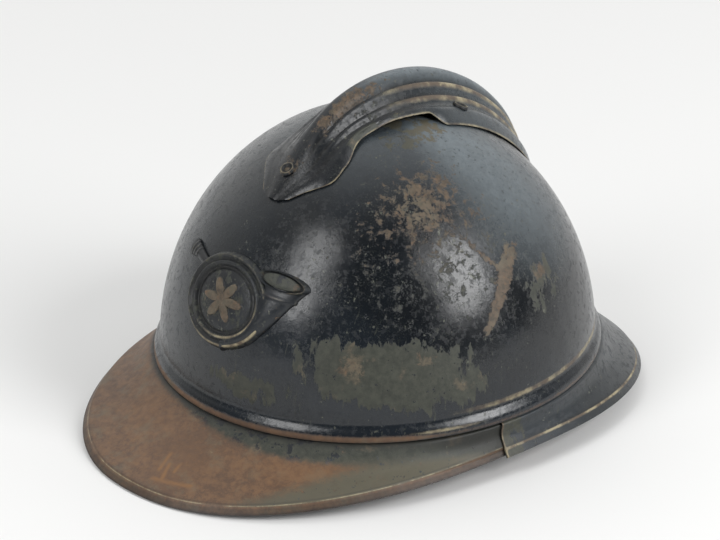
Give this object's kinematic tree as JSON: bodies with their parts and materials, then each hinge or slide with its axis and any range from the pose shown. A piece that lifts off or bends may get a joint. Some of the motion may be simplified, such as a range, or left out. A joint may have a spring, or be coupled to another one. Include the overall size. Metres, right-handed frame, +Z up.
{
  "type": "helmet",
  "caption": "Pressed-steel infantry helmet with a fluted crest, horn badge, visor and neck guard, a tongued leather liner on corrugated spacers and a swinging chinstrap.",
  "frame": {"origin": "on the surface that the helmet stands on, under the middle of its overall length and width", "axes": "+X to the wearer's left, +Y to the back of the helmet, +Z up to the crest"},
  "size_m": [0.2254, 0.3, 0.1619],
  "materials": {
    "enamelled_steel": "worn gloss enamel",
    "bare_steel": "dull",
    "liner_leather": "worn",
    "liner_felt": "felt",
    "spacer_aluminium": "mill",
    "strap_leather": "worn",
    "rivet_copper": "tarnished"
  },
  "bodies": {
    "helmet": {"bowl": "enamelled_steel", "front_visor": "enamelled_steel", "neck_guard": "enamelled_steel", "crest": "enamelled_steel", "crest_rivet_front": "enamelled_steel", "crest_rivet_rear": "enamelled_steel", "crest_rivet_left": "enamelled_steel", "crest_rivet_right": "enamelled_steel", "badge": "enamelled_steel", "badge_lug_lower": "bare_steel", "badge_lug_upper": "bare_steel", "liner_sweatband": "liner_leather", "liner_felt_band": "liner_felt", "spacer_front": "spacer_aluminium", "spacer_rear": "spacer_aluminium", "spacer_left": "spacer_aluminium", "spacer_right": "spacer_aluminium", "liner_clip_rear_left": "bare_steel", "liner_clip_rear_right": "bare_steel", "liner_clip_front_right": "bare_steel", "liner_clip_front_left": "bare_steel", "strap_loop_left": "bare_steel", "strap_loop_right": "bare_steel", "loop_tab_left": "bare_steel", "loop_tab_right": "bare_steel", "strap_end_left": "strap_leather", "strap_end_right": "strap_leather", "strap_rivet_left": "rivet_copper", "strap_rivet_right": "rivet_copper"},
    "chinstrap": {"chinstrap": "strap_leather", "strap_tail": "strap_leather", "strap_keeper": "strap_leather"},
    "buckle": {"slide_buckle": "bare_steel"}
  },
  "joints": [
    {"name": "chinstrap_swing", "type": "hinge", "parent": "helmet", "child": "chinstrap", "pos_m": [0, 0.01146, 0.0102], "axis": [1, 0, 0], "range_deg": [0, 170]},
    {"name": "buckle_slide", "type": "slide", "parent": "chinstrap", "child": "buckle", "axis": [1, 0, 0], "range_m": [-0.006, 0.016]}
  ]
}
